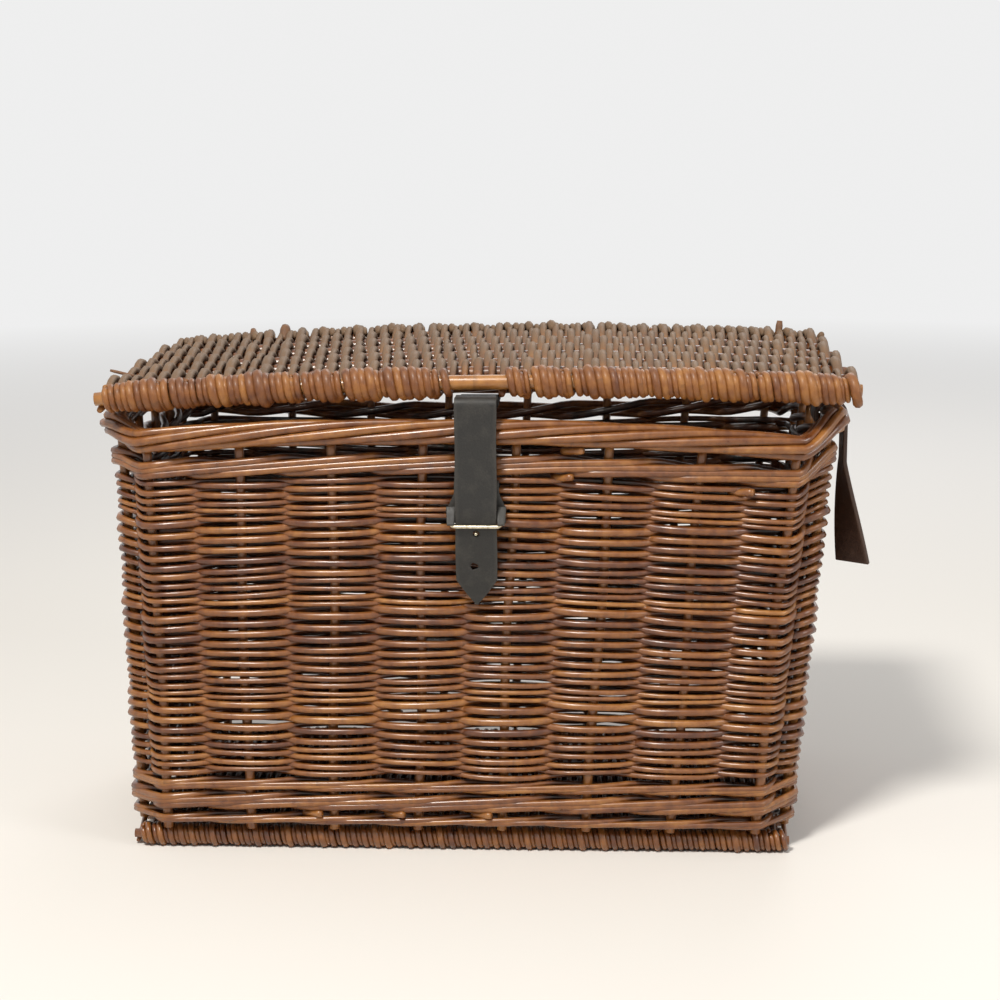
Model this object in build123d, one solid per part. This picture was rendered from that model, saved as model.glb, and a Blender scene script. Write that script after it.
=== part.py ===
from build123d import *
from math import atan, atan2, cos, degrees, pi, radians, sin, sqrt, tan
import os

# A willow creel woven on upright stakes, with a stick-and-weave base and lid,
# two cane hinge loops at the back, and a leather strap and buckle at the front.
# Millimetres. +X is right, +Y is back, +Z is up.
# The origin is the middle of the base, on the table.

# ---- stake lines: a rectangle with its corners cut off, wider at the top ----
foot_width = 364.0
foot_depth = 191.0
width_flare = 18.0
depth_flare = 10.0
corner_cut = 17.0
stake_diameter = 5.5
front_stake_count = 8
side_stake_count = 5

# ---- heights ----
base_thickness = 14.0
stake_foot_gap = 0.3
foot_wale_start = 15.0
lower_wale_start = 23.0
weave_start = 44.0
weave_height = 162.0
front_course_count = 8
raised_course_count = 1
rim_rise = 13.5
wale_seat_gap = 0.6
border_gap = 3.8

# ---- rods: those that repeat are drawn with flat sides ----
rod_side_count = 8
border_side_count = 12
weave_thickness = 3.2
stake_grip = 0.45
corner_grip = 1.3
wall_joint_gap = 0.15
foot_wale_rod = 6.0
lower_wale_rod = 6.9
lower_wale_rod_count = 3
upper_wale_rod = 6.4
upper_wale_rod_count = 2
inner_wale_rod = 5.0
rod_nesting = 0.9
wale_clearance = 0.5
border_diameter = 14.0
border_overhang = 5.0

# ---- base ----
base_stick_diameter = 7.0
base_stick_count = 7
base_pass_count = 9
base_flat = 0.6
base_side_inset = 1.5

# ---- lid ----
lid_end_overhang = 1.8
lid_thickness = 16.0
lid_stick_diameter = 8.0
lid_stick_count = 7
lid_side_pass_count = 6
lid_centre_pass_count = 2
stick_overhang = 3.0
lid_rest_gap = 0.3
notch_width = 25.0
notch_margin = 0.8
stick_grip = 0.1

# ---- hinge loops ----
loop_width = 9.0
loop_thickness = 1.9
loop_clearance = 0.35
loop_slot_margin = 1.5

# ---- closing strap ----
strap_x = 1.0
strap_width = 22.0
strap_thickness = 2.5
strap_clearance = 0.35
strap_bend_radius = 2.6
strap_split_gap = 0.3
tail_drop = 44.3
tail_point_length = 15.0
tail_wall_gap = 0.9
worn_hole_drop = 22.8
strap_hole_width = 3.4
anchor_drop_run = 8.0
anchor_reach = 46.0
tack_diameter = 6.0
tack_thickness = 1.2
tack_spacing = 11.0

# ---- buckle ----
wire_diameter = 2.0
frame_inner_width = 24.8
frame_corner_radius = 2.6
tab_reach = 9.5
frame_drop = 13.7
tab_width = 31.0
tab_top_width = 24.0
tab_thickness = 1.8
tab_wall_gap = 0.3
tab_foot_drop = 13.0
tab_inner_leg = 15.0
tab_slot_clearance = 0.6
wrap_thickness = 1.6
wrap_clearance = 0.2
wrap_sink = 0.9
prong_slot = 3.0
prong_diameter = 1.8
prong_tip_drop = 4.0
prong_tip_length = 0.9
prong_bend_radius = 1.6

# ---- carrying strap end on the right ----
carry_width = 20.0
carry_thickness = 2.4
carry_y_from_corner = 24.0
carry_twist_start = 205.0
carry_end_height = 143.0
carry_drift = 7.0
carry_twist = 57.0

# ---- places worked out from the sizes ----
stake_radius = stake_diameter / 2
base_top = base_thickness - base_flat
front_weave_top = weave_start + weave_height
upper_wale_start = front_weave_top + wale_seat_gap
upper_wale_height = upper_wale_rod * (1 + (upper_wale_rod_count - 1) * rod_nesting)
border_radius = border_diameter / 2
front_border_z = upper_wale_start + upper_wale_height + border_gap + border_radius
side_border_z = front_border_z + rim_rise
rim_height = front_border_z + border_radius
weave_offset = stake_radius + stake_grip + weave_thickness / 2
lid_radius = lid_thickness / 2
lid_z = side_border_z + border_radius + lid_rest_gap + lid_radius
climb_angle = atan(rim_rise / (corner_cut * sqrt(2)))


def spread(first, last, count):
    return [first + (last - first) * number / (count - 1) for number in range(count)]


def half_width(z):
    return (foot_width + width_flare * z / rim_height) / 2


def half_depth(z):
    return (foot_depth + depth_flare * z / rim_height) / 2


def corner_at(z, out):
    """Half sizes and corner cut of the stake line at height z, moved out."""
    cut = corner_cut + out * (2 - sqrt(2))
    return half_width(z) + out, half_depth(z) + out, cut


def stake_xy(index, z, out=0.0):
    """Stakes run anticlockwise from the front left corner."""
    wide, deep, cut = corner_at(z, out)
    front_reach = half_width(z) - corner_cut
    side_reach = half_depth(z) - corner_cut
    side = 0
    while index >= (front_stake_count, side_stake_count)[side % 2]:
        index -= (front_stake_count, side_stake_count)[side % 2]
        side += 1
    on_long_side = side % 2 == 0
    last = (front_stake_count, side_stake_count)[side % 2] - 1
    reach = front_reach if on_long_side else side_reach
    along = -reach + 2 * reach * index / last
    if index in (0, last):
        corner_reach = (wide if on_long_side else deep) - cut
        along = corner_reach if index else -corner_reach
    across = deep if on_long_side else wide
    turns = [(along, -across), (across, along), (-along, across), (-across, -along)]
    return turns[side]


lid_width = 2 * (half_width(side_border_z) + border_overhang + border_radius + lid_end_overhang)
lid_depth = 2 * (half_depth(side_border_z) + border_overhang + border_radius)
lid_stick_y = lid_depth / 2 - lid_radius
lid_pitch = 2 * lid_stick_y / (lid_stick_count - 1)

stake_count = 2 * (front_stake_count + side_stake_count)
front_right_corner = front_stake_count - 1
right_front_corner = front_stake_count
right_back_corner = front_stake_count + side_stake_count - 1
back_right_corner = front_stake_count + side_stake_count
back_left_corner = 2 * front_stake_count + side_stake_count - 1
left_back_corner = 2 * front_stake_count + side_stake_count
left_front_corner = stake_count - 1
corner_stakes = (
    0, front_right_corner, right_front_corner, right_back_corner,
    back_right_corner, back_left_corner, left_back_corner, left_front_corner, stake_count,
)


base_half_width = half_width(base_top) + stake_radius - base_side_inset
base_half_depth = half_depth(base_top) + stake_radius - base_side_inset
base_stick_y = base_half_depth - base_thickness / 2
base_stick_places = spread(-base_stick_y, base_stick_y, base_stick_count)
base_stick_z = base_thickness / 2 - base_flat
stake_inner_y = half_depth(base_top) - stake_radius
base_edge_z = base_stick_z + sqrt((base_thickness / 2) ** 2 - (stake_inner_y - base_stick_y) ** 2)
stake_foot_z = base_edge_z + stake_foot_gap


def rise_at(index):
    """The rim is low along the front and higher round the other sides."""
    return 0.0 if index % stake_count < front_stake_count else rim_rise


def climb_drop(half_height):
    """How much lower a bundle's underside lies where the bundle climbs."""
    return half_height * (1 / cos(climb_angle) - 1) + stake_radius * tan(climb_angle)


def rod_section(radius, sides=rod_side_count):
    """A round rod's section with flat sides, as wide as the rod."""
    return Rot(0, 0, 180 / sides) * RegularPolygon(radius, sides)


def straight_rod(start, end, section):
    line = Vector(*end) - Vector(*start)
    return extrude(Plane(origin=start, z_dir=line) * section, line.length)


# ---- stakes ----
def stake(index):
    foot_z = stake_foot_z
    top_z = front_border_z - border_radius - stake_foot_gap + rise_at(index)
    if index in (right_front_corner, left_front_corner):
        top_z -= climb_drop(border_radius)
    foot = (*stake_xy(index, foot_z), foot_z)
    top = (*stake_xy(index, top_z), top_z)
    return straight_rod(foot, top, rod_section(stake_radius))


def stakes(first, count):
    return Compound(children=[stake(index) for index in range(first, first + count)])


# ---- woven walls: each course passes alternate stakes in front and behind ----
def draw_in(points):
    """Bring the ends of a line of points in by the joint gap."""
    line = [Vector(*point) for point in points]
    first = line[0] + (line[1] - line[0]).normalized() * wall_joint_gap
    last = line[-1] + (line[-2] - line[-1]).normalized() * wall_joint_gap
    return [first, *line[1:-1], last]


def course(indices, z, height, parity):
    mid_z = z + height / 2
    outer = []
    inner = []
    for index in indices:
        sign = 1 if (index + parity) % 2 else -1
        middle = sign * (weave_offset + (corner_grip if index in corner_stakes else 0))
        outer.append(stake_xy(index % stake_count, mid_z, middle + weave_thickness / 2))
        inner.append(stake_xy(index % stake_count, mid_z, middle - weave_thickness / 2))
    outline = Polyline(*draw_in(outer), *reversed(draw_in(inner)), close=True)
    return Pos(0, 0, z) * extrude(make_face(outline), height)


def woven_wall(first, last, count):
    indices = range(first, last + 1)
    wall_height = weave_height + (rim_rise if count > front_course_count else 0)
    height = wall_height / count
    return Part() + [course(indices, weave_start + number * height, height, number) for number in range(count)]


def above_corner_rim():
    """What lies over the climbing rim at the right front corner."""
    low = stake_xy(front_right_corner, front_weave_top)
    high = stake_xy(right_front_corner, front_weave_top)
    over = 4 * border_radius
    low_z = front_weave_top - climb_drop(upper_wale_height / 2) - wale_seat_gap
    profile = Polyline(
        (low[0] - over, low_z),
        (low[0], low_z),
        (high[0], low_z + rim_rise),
        (high[0] + over, low_z + rim_rise),
        (high[0] + over, rim_height + over),
        (low[0] - over, rim_height + over),
        close=True,
    )
    return extrude(Plane.XZ * make_face(profile), foot_depth)


# ---- wales and border: bundles of rods that run all the way round ----
def climbing_corners(z, out):
    """The eight corners of a bundle that is low along the front."""
    low_wide, low_deep, cut = corner_at(z, out)
    raised = z + rim_rise
    wide, deep, cut = corner_at(raised, out)
    right = [
        (low_wide - cut, -low_deep, z),
        (wide, cut - deep, raised),
        (wide, deep - cut, raised),
        (wide - cut, deep, raised),
    ]
    return right + [(-x, y, level) for x, y, level in reversed(right)]


def level_corners(z, out):
    wide, deep, cut = corner_at(z, out)
    right = [(wide - cut, -deep, z), (wide, cut - deep, z), (wide, deep - cut, z), (wide - cut, deep, z)]
    return right + [(-x, y, level) for x, y, level in reversed(right)]


def bundle_section(rod, count):
    """Rods stacked one on another, each sunk a little into the next."""
    pitch = rod * rod_nesting
    lobes = [Pos(0, (number - (count - 1) / 2) * pitch) * rod_section(rod / 2) for number in range(count)]
    return Sketch() + lobes


def ring(corners, section):
    """Straight runs of one section, mitred together at the corners."""
    places = [Vector(*corner) for corner in corners]
    count = len(places)
    steps = [(places[(number + 1) % count] - places[number]).normalized() for number in range(count)]
    runs = []
    for number, start in enumerate(places):
        end = places[(number + 1) % count]
        along = steps[number]
        across = Vector(0, 0, 1).cross(along)
        run_plane = Plane(origin=start - along * corner_cut, x_dir=across, z_dir=along)
        run = extrude(run_plane * section, (end - start).length + 2 * corner_cut)
        start_mitre = Plane(origin=start, z_dir=along + steps[number - 1])
        end_mitre = Plane(origin=end, z_dir=along + steps[(number + 1) % count])
        run = split(run, bisect_by=start_mitre, keep=Keep.TOP)
        runs.append(split(run, bisect_by=end_mitre, keep=Keep.BOTTOM))
    return Part() + runs


def outer_wale(start_z, rod, count, corner_maker):
    height = rod * (1 + (count - 1) * rod_nesting)
    mid_z = start_z + height / 2
    out = stake_radius + wale_clearance + rod / 2
    return ring(corner_maker(mid_z, out), bundle_section(rod, count))


def inner_wale(start_z, height, corner_maker):
    mid_z = start_z + height / 2
    out = stake_radius + wale_clearance + inner_wale_rod / 2
    return ring(corner_maker(mid_z, -out), rod_section(inner_wale_rod / 2))


# ---- stick-and-weave mats ----
def mat_pass(stick_places, stick, half_thick, x_start, x_end, parity):
    """One band of rods going over and under the sticks."""
    pitch = stick_places[1] - stick_places[0]
    slope = atan((2 * half_thick - (half_thick - stick / 2)) / pitch)
    inner_reach = (stick / 2 + stick_grip) / cos(slope)
    top = []
    bottom = []
    for number, place in enumerate(stick_places):
        over = (number + parity) % 2 == 0
        top.append((place, half_thick if over else -inner_reach))
        bottom.append((place, inner_reach if over else -half_thick))
    outline = make_face(Polyline(*top, *reversed(bottom), close=True))
    return Pos(x_start, 0, 0) * extrude(Plane.YZ * outline, x_end - x_start)


def edge_wrap(place, stick, half_thick, length):
    """The rods turned round an end stick."""
    bore = (stick / 2 + stick_grip) / cos(pi / rod_side_count)
    tube = rod_section(half_thick, border_side_count) - rod_section(bore)
    return Pos(-length / 2, place, 0) * extrude(Plane.YZ * tube, length)


def woven_mat(stick_places, stick, thickness, band_edges):
    half_thick = thickness / 2
    bands = []
    for number, (x_start, x_end) in enumerate(zip(band_edges, band_edges[1:])):
        bands.append(mat_pass(stick_places, stick, half_thick, x_start, x_end, number))
    length = band_edges[-1] - band_edges[0]
    wraps = [edge_wrap(place, stick, half_thick, length) for place in (stick_places[0], stick_places[-1])]
    return Part() + bands + wraps


def stick_at(place, z, length, section):
    return straight_rod((-length / 2, place, z), (length / 2, place, z), section)


lid_stick_places = spread(-lid_stick_y, lid_stick_y, lid_stick_count)
lid_weave_half = lid_width / 2 - stick_overhang

front_bay = 2 * (half_width(rim_height) - corner_cut) / (front_stake_count - 1)
hinge_x = 2 * front_bay
back_border_y = half_depth(side_border_z) + border_overhang


def base_weave():
    """The base mat, worn flat where it stands."""
    edges = spread(-base_half_width, base_half_width, base_pass_count + 1)
    mat = woven_mat(base_stick_places, base_stick_diameter, base_thickness, edges)
    worn = Pos(0, 0, -base_thickness) * Box(foot_width * 2, foot_depth * 2, 2 * base_thickness)
    return Pos(0, 0, base_stick_z) * mat - worn


def lid_weave():
    left = spread(-lid_weave_half, -notch_width / 2, lid_side_pass_count + 1)
    centre = spread(-notch_width / 2, notch_width / 2, lid_centre_pass_count + 1)
    right = [-edge for edge in reversed(left)]
    mat = woven_mat(lid_stick_places, lid_stick_diameter, lid_thickness, left + centre[1:-1] + right)
    reach = 2 * (lid_radius + notch_margin)
    notch = Pos(strap_x, lid_stick_places[0], 0) * Box(notch_width, reach, 2 * lid_thickness)
    slot_width = loop_width + 2 * loop_slot_margin
    slot_reach = lid_pitch - lid_stick_diameter
    cuts = [notch]
    for side in (-1, 1):
        slot = Box(slot_width, slot_reach + lid_thickness, 2 * lid_thickness)
        cuts.append(Pos(side * hinge_x, lid_stick_y + (lid_thickness - slot_reach) / 2, 0) * slot)
    return Pos(0, 0, lid_z) * (mat - cuts)


# ---- hinge loops: a cane band round the lid's back stick and the border ----
def hinge_loop(x):
    stick_bore = lid_stick_diameter / 2 + loop_clearance
    border_bore = border_radius + loop_clearance

    def belt(extra):
        upper = Pos(lid_stick_y, lid_z) * rod_section((stick_bore + extra) / cos(pi / border_side_count), border_side_count)
        lower = Pos(back_border_y, side_border_z) * rod_section(
            (border_bore + extra) / cos(pi / border_side_count), border_side_count)
        return make_hull(upper.edges() + lower.edges())

    band = belt(loop_thickness) - belt(0)
    return Pos(x - loop_width / 2, 0, 0) * extrude(Plane.YZ * band, loop_width)


# ---- closing strap: profiles are drawn as (distance out, height) ----
def wall_face(z):
    return half_depth(z) + weave_offset + weave_thickness / 2


pivot_height = front_weave_top - tab_reach
bar_height = pivot_height - frame_drop
prong_tip_height = bar_height - prong_tip_drop
tail_height = bar_height - tail_drop
tab_face = wall_face(pivot_height) + tab_wall_gap + tab_thickness
wire_radius = wire_diameter / 2
wrap_bore = wire_radius + wrap_clearance
wrap_radius = wrap_bore + wrap_thickness
eye_radius = wrap_bore + prong_diameter
pivot_out = tab_face + wrap_radius - wrap_sink
border_face = half_depth(front_border_z) + border_overhang + border_radius
strap_out = max(border_face, pivot_out + eye_radius) + strap_clearance + strap_thickness / 2
strap_bar_out = (strap_out + pivot_out + prong_diameter / 2 + strap_clearance + strap_thickness / 2) / 2
bar_out = strap_bar_out + strap_thickness / 2 + strap_clearance + wire_radius
tail_out = wall_face(tail_height) + tail_wall_gap + strap_thickness / 2
strap_top_z = lid_z - lid_stick_diameter / 2 - strap_clearance - strap_thickness / 2
anchor_z = lid_z - lid_radius - strap_clearance - strap_thickness / 2
strap_axis_out = lid_stick_y + lid_stick_diameter / 2 + strap_clearance
anchor_end_out = lid_stick_y - anchor_reach


def leather_run(points, width, thickness, radius, x):
    """A flat strap along a route of (out, height) points."""
    route = FilletPolyline(*[(0, -out, z) for out, z in points], radius=radius)
    start_plane = Plane(origin=route @ 0, x_dir=(1, 0, 0), z_dir=route % 0)
    return Pos(x, 0, 0) * sweep(start_plane * Rectangle(width, thickness), path=route)


def strap_slope_at(z):
    """Where the strap's middle lies at a height under the buckle bar."""
    share = (bar_height - z) / (bar_height - tail_height)
    return strap_bar_out + (tail_out - strap_bar_out) * share


def closure_strap():
    route = [
        (strap_axis_out + strap_split_gap / 2, strap_top_z),
        (strap_out, strap_top_z),
        (strap_out, pivot_height),
        (strap_bar_out, bar_height),
        (tail_out, tail_height - strap_thickness),
    ]
    strap = leather_run(route, strap_width, strap_thickness, strap_bend_radius, strap_x)
    half = strap_width / 2
    shoulder = tail_height + tail_point_length
    above = lid_z + lid_thickness
    outline = make_face(Polyline(
        (strap_x - half, above), (strap_x - half, shoulder), (strap_x, tail_height),
        (strap_x + half, shoulder), (strap_x + half, above), close=True,
    ))
    outline -= Pos(strap_x, bar_height - worn_hole_drop) * Circle(strap_hole_width / 2)
    outline -= Pos(strap_x, prong_tip_height) * Circle(strap_hole_width / 2)
    return strap & extrude(Plane.XZ * outline, lid_depth)


def strap_anchor():
    front_out = strap_axis_out - strap_split_gap / 2
    drop_start = lid_stick_y - lid_stick_diameter / 2
    route = [
        (anchor_end_out, anchor_z),
        (drop_start - anchor_drop_run, anchor_z),
        (drop_start, strap_top_z),
        (front_out, strap_top_z),
    ]
    return leather_run(route, strap_width, strap_thickness, strap_bend_radius, strap_x)


def anchor_tacks():
    second_stick_out = -lid_stick_places[1]
    head_z = anchor_z - strap_thickness / 2 - tack_thickness
    heads = []
    for side in (-1, 1):
        place = Pos(strap_x + side * tack_spacing / 2, -second_stick_out, head_z)
        heads.append(place * extrude(rod_section(tack_diameter / 2), tack_thickness))
    return Compound(children=heads)


# ---- buckle: frame and prong turn on the same wire, held in the tab's wrap ----
tab_slot_top = front_weave_top
tab_top = tab_slot_top - tab_slot_clearance
tab_back_out = tab_face - tab_thickness
tab_foot_height = pivot_height - tab_foot_drop
tab_inner_out = half_depth(pivot_height) - weave_offset - weave_thickness / 2 - tab_wall_gap


def buckle_tab():
    profile = make_face(Polyline(
        (-tab_face, tab_foot_height), (-tab_face, tab_top),
        (-tab_inner_out + tab_thickness, tab_top),
        (-tab_inner_out + tab_thickness, tab_top - tab_inner_leg),
        (-tab_inner_out, tab_top - tab_inner_leg), (-tab_inner_out, tab_top - tab_thickness),
        (-tab_back_out, tab_top - tab_thickness), (-tab_back_out, tab_foot_height), close=True,
    ))
    sheet = Pos(strap_x - tab_width / 2, 0, 0) * extrude(Plane.YZ * profile, tab_width)
    half = tab_width / 2
    top_half = tab_top_width / 2
    outline = make_face(Polyline(
        (strap_x - half, tab_foot_height), (strap_x + half, tab_foot_height),
        (strap_x + half, pivot_height), (strap_x + top_half, tab_top),
        (strap_x - top_half, tab_top), (strap_x - half, pivot_height), close=True,
    ))
    sheet = sheet & extrude(Plane.XZ * outline, foot_depth)
    wrap_width = frame_inner_width + wire_diameter - 2 * frame_corner_radius - wrap_clearance
    tube = Circle(wrap_radius) - Circle(wrap_bore)
    wrap = Pos(strap_x - wrap_width / 2, -pivot_out, pivot_height) * extrude(Plane.YZ * tube, wrap_width)
    eye_room = 2 * (eye_radius + wrap_clearance)
    middle_gap = Pos(strap_x, -pivot_out, pivot_height) * Box(prong_slot, eye_room, eye_room)
    pin_room = Pos(strap_x - wrap_width / 2, -pivot_out, pivot_height)
    pin_room *= extrude(Plane.YZ * Circle(wrap_bore), wrap_width)
    return (sheet + wrap) - pin_room - middle_gap


frame_reach = sqrt((bar_out - pivot_out) ** 2 + (pivot_height - bar_height) ** 2)
frame_tilt = degrees(atan2(bar_out - pivot_out, pivot_height - bar_height))


def buckle_frame():
    across = frame_inner_width / 2 + wire_radius
    corners = [(-across, 0, 0), (-across, 0, -frame_reach), (across, 0, -frame_reach), (across, 0, 0)]
    route = FilletPolyline(*corners, radius=frame_corner_radius, close=True)
    start_plane = Plane(origin=route @ 0, z_dir=route % 0)
    wire = sweep(start_plane * rod_section(wire_radius), path=route)
    return Pos(strap_x, -pivot_out, pivot_height) * Rot(-frame_tilt, 0, 0) * wire


def buckle_prong():
    eye = Circle(eye_radius) - Circle(wrap_bore)
    eye_width = prong_diameter
    loop = Pos(strap_x - eye_width / 2, -pivot_out, pivot_height) * extrude(Plane.YZ * eye, eye_width)
    tip_out = strap_slope_at(prong_tip_height) + strap_thickness / 2 + prong_tip_length
    route = FilletPolyline(
        (strap_x, -pivot_out, pivot_height - wrap_bore - prong_diameter / 2),
        (strap_x, -pivot_out, prong_tip_height),
        (strap_x, -tip_out, prong_tip_height),
        radius=prong_bend_radius,
    )
    start_plane = Plane(origin=route @ 0, z_dir=route % 0)
    return loop + sweep(start_plane * rod_section(prong_diameter / 2), path=route)


# ---- carrying strap end: a loop on the side border with a twisted tail ----
carry_y = -(half_depth(side_border_z) - corner_cut) + carry_y_from_corner
carry_axis_x = half_width(side_border_z) + border_overhang
carry_x = carry_axis_x + border_radius + loop_clearance + carry_thickness / 2


def carry_tab():
    bore = border_radius + loop_clearance
    collar = rod_section((bore + carry_thickness) / cos(pi / border_side_count), border_side_count)
    collar -= rod_section(bore / cos(pi / border_side_count), border_side_count)
    collar_place = Pos(carry_axis_x, carry_y + carry_width / 2, side_border_z)
    collar = collar_place * extrude(Plane.XZ * collar, carry_width)
    drop = side_border_z - carry_twist_start
    straight = Pos(carry_x, carry_y, carry_twist_start + drop / 2) * Box(carry_thickness, carry_width, drop)
    upper_end = Pos(carry_x, carry_y, carry_twist_start) * Rectangle(carry_thickness, carry_width)
    lower_end = Rot(0, 0, carry_twist) * Rectangle(carry_thickness, carry_width)
    lower_end = Pos(carry_x + carry_drift, carry_y, carry_end_height) * lower_end
    tail = loft([upper_end, lower_end], ruled=True)
    return collar + straight + tail


# ---- every piece under its name ----
def make_parts():
    back_course_count = front_course_count + raised_course_count
    front_wall = woven_wall(0, front_right_corner, front_course_count)
    slot_width = tab_width + 2 * tab_slot_clearance
    slot_height = tab_thickness + 2 * tab_slot_clearance
    slot = Pos(strap_x, -half_depth(tab_top), tab_slot_top - slot_height / 2)
    slot *= Box(slot_width, 4 * weave_offset, slot_height)

    corners = []
    for side in (-1, 1):
        front_corner = woven_wall(front_right_corner, right_front_corner, back_course_count)
        back_corner = woven_wall(right_back_corner, back_right_corner, back_course_count)
        front_corner -= above_corner_rim()
        if side < 0:
            front_corner = front_corner.mirror(Plane.YZ)
            back_corner = back_corner.mirror(Plane.YZ)
        corners += front_corner.solids() + back_corner.solids()

    lower_wale_height = lower_wale_rod * (1 + (lower_wale_rod_count - 1) * rod_nesting)
    border_corners = climbing_corners(front_border_z, border_overhang)
    base_rods = [stick_at(y, base_stick_z, 2 * base_half_width, rod_section(base_stick_diameter / 2))
                 for y in base_stick_places]
    inner_lid = [stick_at(y, lid_z, lid_width, rod_section(lid_stick_diameter / 2))
                 for y in lid_stick_places[1:-1]]
    lid_end_section = Circle(lid_stick_diameter / 2)
    second_side = front_stake_count
    third_side = front_stake_count + side_stake_count
    fourth_side = 2 * front_stake_count + side_stake_count

    return {
        "base_front_stick": base_rods[0],
        "base_back_stick": base_rods[-1],
        "base_inner_sticks": Compound(children=base_rods[1:-1]),
        "base_weave": base_weave(),
        "front_stakes": stakes(0, front_stake_count),
        "right_stakes": stakes(second_side, side_stake_count),
        "back_stakes": stakes(third_side, front_stake_count),
        "left_stakes": stakes(fourth_side, side_stake_count),
        "front_siding": front_wall - slot,
        "right_siding": woven_wall(right_front_corner, right_back_corner, back_course_count),
        "back_siding": woven_wall(back_right_corner, back_left_corner, back_course_count),
        "left_siding": woven_wall(left_back_corner, left_front_corner, back_course_count),
        "corner_siding": Compound(children=corners),
        "foot_wale": outer_wale(foot_wale_start, foot_wale_rod, 1, level_corners),
        "lower_wale_outer": outer_wale(lower_wale_start, lower_wale_rod, lower_wale_rod_count, level_corners),
        "lower_wale_inner": inner_wale(lower_wale_start, lower_wale_height, level_corners),
        "upper_wale_outer": outer_wale(upper_wale_start, upper_wale_rod, upper_wale_rod_count, climbing_corners),
        "upper_wale_inner": inner_wale(upper_wale_start, upper_wale_height, climbing_corners),
        "top_border": ring(border_corners, rod_section(border_radius, border_side_count)),
        "hinge_loop_left": hinge_loop(-hinge_x),
        "hinge_loop_right": hinge_loop(hinge_x),
        "lid_front_stick": stick_at(-lid_stick_y, lid_z, lid_width, lid_end_section),
        "lid_back_stick": stick_at(lid_stick_y, lid_z, lid_width, lid_end_section),
        "lid_inner_sticks": Compound(children=inner_lid),
        "lid_weave": lid_weave(),
        "strap_anchor": strap_anchor(),
        "anchor_tacks": anchor_tacks(),
        "closure_strap": closure_strap(),
        "buckle_tab": buckle_tab(),
        "buckle_frame": buckle_frame(),
        "buckle_prong": buckle_prong(),
        "carry_tab": carry_tab(),
    }


os.makedirs("parts", exist_ok=True)
for name, piece in make_parts().items():
    export_step(piece, f"parts/{name}.step")
    print(name, len(piece.solids()), round(piece.volume))
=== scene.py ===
import bpy
import bmesh
import numpy as np
from math import cos, gcd, pi, radians, sin
from mathutils import Matrix, Vector


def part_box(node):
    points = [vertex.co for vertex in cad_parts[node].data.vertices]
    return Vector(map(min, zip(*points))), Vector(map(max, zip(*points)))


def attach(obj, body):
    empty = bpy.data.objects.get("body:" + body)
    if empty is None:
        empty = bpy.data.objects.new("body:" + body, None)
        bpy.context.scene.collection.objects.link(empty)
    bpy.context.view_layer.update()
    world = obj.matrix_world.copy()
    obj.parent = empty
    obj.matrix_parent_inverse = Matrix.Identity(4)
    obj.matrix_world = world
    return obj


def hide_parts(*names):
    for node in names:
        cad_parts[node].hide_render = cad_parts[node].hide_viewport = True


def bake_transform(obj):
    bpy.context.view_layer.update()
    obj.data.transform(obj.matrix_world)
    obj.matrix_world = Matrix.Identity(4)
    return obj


# An old willow creel. Every rod is its own tube, bent round stakes and sticks as a weaver lays it.
# Metres, in the frame: +X is right, +Y is back, +Z is up.

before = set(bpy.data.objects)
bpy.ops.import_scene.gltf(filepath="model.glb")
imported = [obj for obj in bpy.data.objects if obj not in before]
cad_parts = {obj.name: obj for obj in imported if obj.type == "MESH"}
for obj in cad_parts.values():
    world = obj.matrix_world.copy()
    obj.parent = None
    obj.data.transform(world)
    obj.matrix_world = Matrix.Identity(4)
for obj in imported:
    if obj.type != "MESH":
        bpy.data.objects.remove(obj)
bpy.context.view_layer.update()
print("frame loaded")

scene = bpy.context.scene
draw = np.random.default_rng(31)

# the line of the stakes, from which every piece of the wall is placed
shell = {
    "footWidth": 0.3572,
    "footDepth": 0.191,
    "widthFlare": 0.0235,
    "depthFlare": 0.010,
    "cornerCut": 0.017,
    "stakeRadius": 0.00275,
    "frontStakes": 8,
    "sideStakes": 5,
    "riseRight": 0.0112,     # how much higher the rim is round the sides and back
    "riseLeft": 0.0088,
    "backDip": 0.0055,       # the back rim sags, clear of the lid as that opens
    "bowMiddle": 0.0078,     # the front rim bows up in its middle
    "bowLeft": 0.0022,
    "bowRight": -0.0008,
    "leanFoot": -0.008,      # the old basket leans: its foot stands a little to the left
    "leanRim": 0.0,
    "rimOverWeave": 0.03056,
}
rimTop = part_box("front_siding")[1].z + shell["rimOverWeave"]
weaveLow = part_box("front_siding")[0].z
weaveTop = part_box("front_siding")[1].z
stakeCount = 2 * (shell["frontStakes"] + shell["sideStakes"])


def leanAt(z):
    return shell["leanFoot"] + (shell["leanRim"] - shell["leanFoot"]) * np.clip(z / rimTop, 0, 1.2)


def stakeSpot(index, z):
    # stakes run anticlockwise from the front left corner
    wide = (shell["footWidth"] + shell["widthFlare"] * z / rimTop) / 2
    deep = (shell["footDepth"] + shell["depthFlare"] * z / rimTop) / 2
    counts = (shell["frontStakes"], shell["sideStakes"])
    index = index % stakeCount
    side = 0
    while index >= counts[side % 2]:
        index -= counts[side % 2]
        side += 1
    reach = (wide, deep)[side % 2] - shell["cornerCut"]
    along = reach * (2 * index / (counts[side % 2] - 1) - 1)
    across = (deep, wide)[side % 2]
    return ((along, -across), (across, along), (-along, across), (-across, -along))[side]


def stakeFacing(index):
    before, here, after = (stakeSpot(index + step, 0.1) for step in (-1, 0, 1))
    first = Vector((here[1] - before[1], before[0] - here[0])).normalized()
    second = Vector((after[1] - here[1], here[0] - after[0])).normalized()
    return (first + second).normalized()


facings = np.array([stakeFacing(index) for index in range(stakeCount)])


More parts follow.
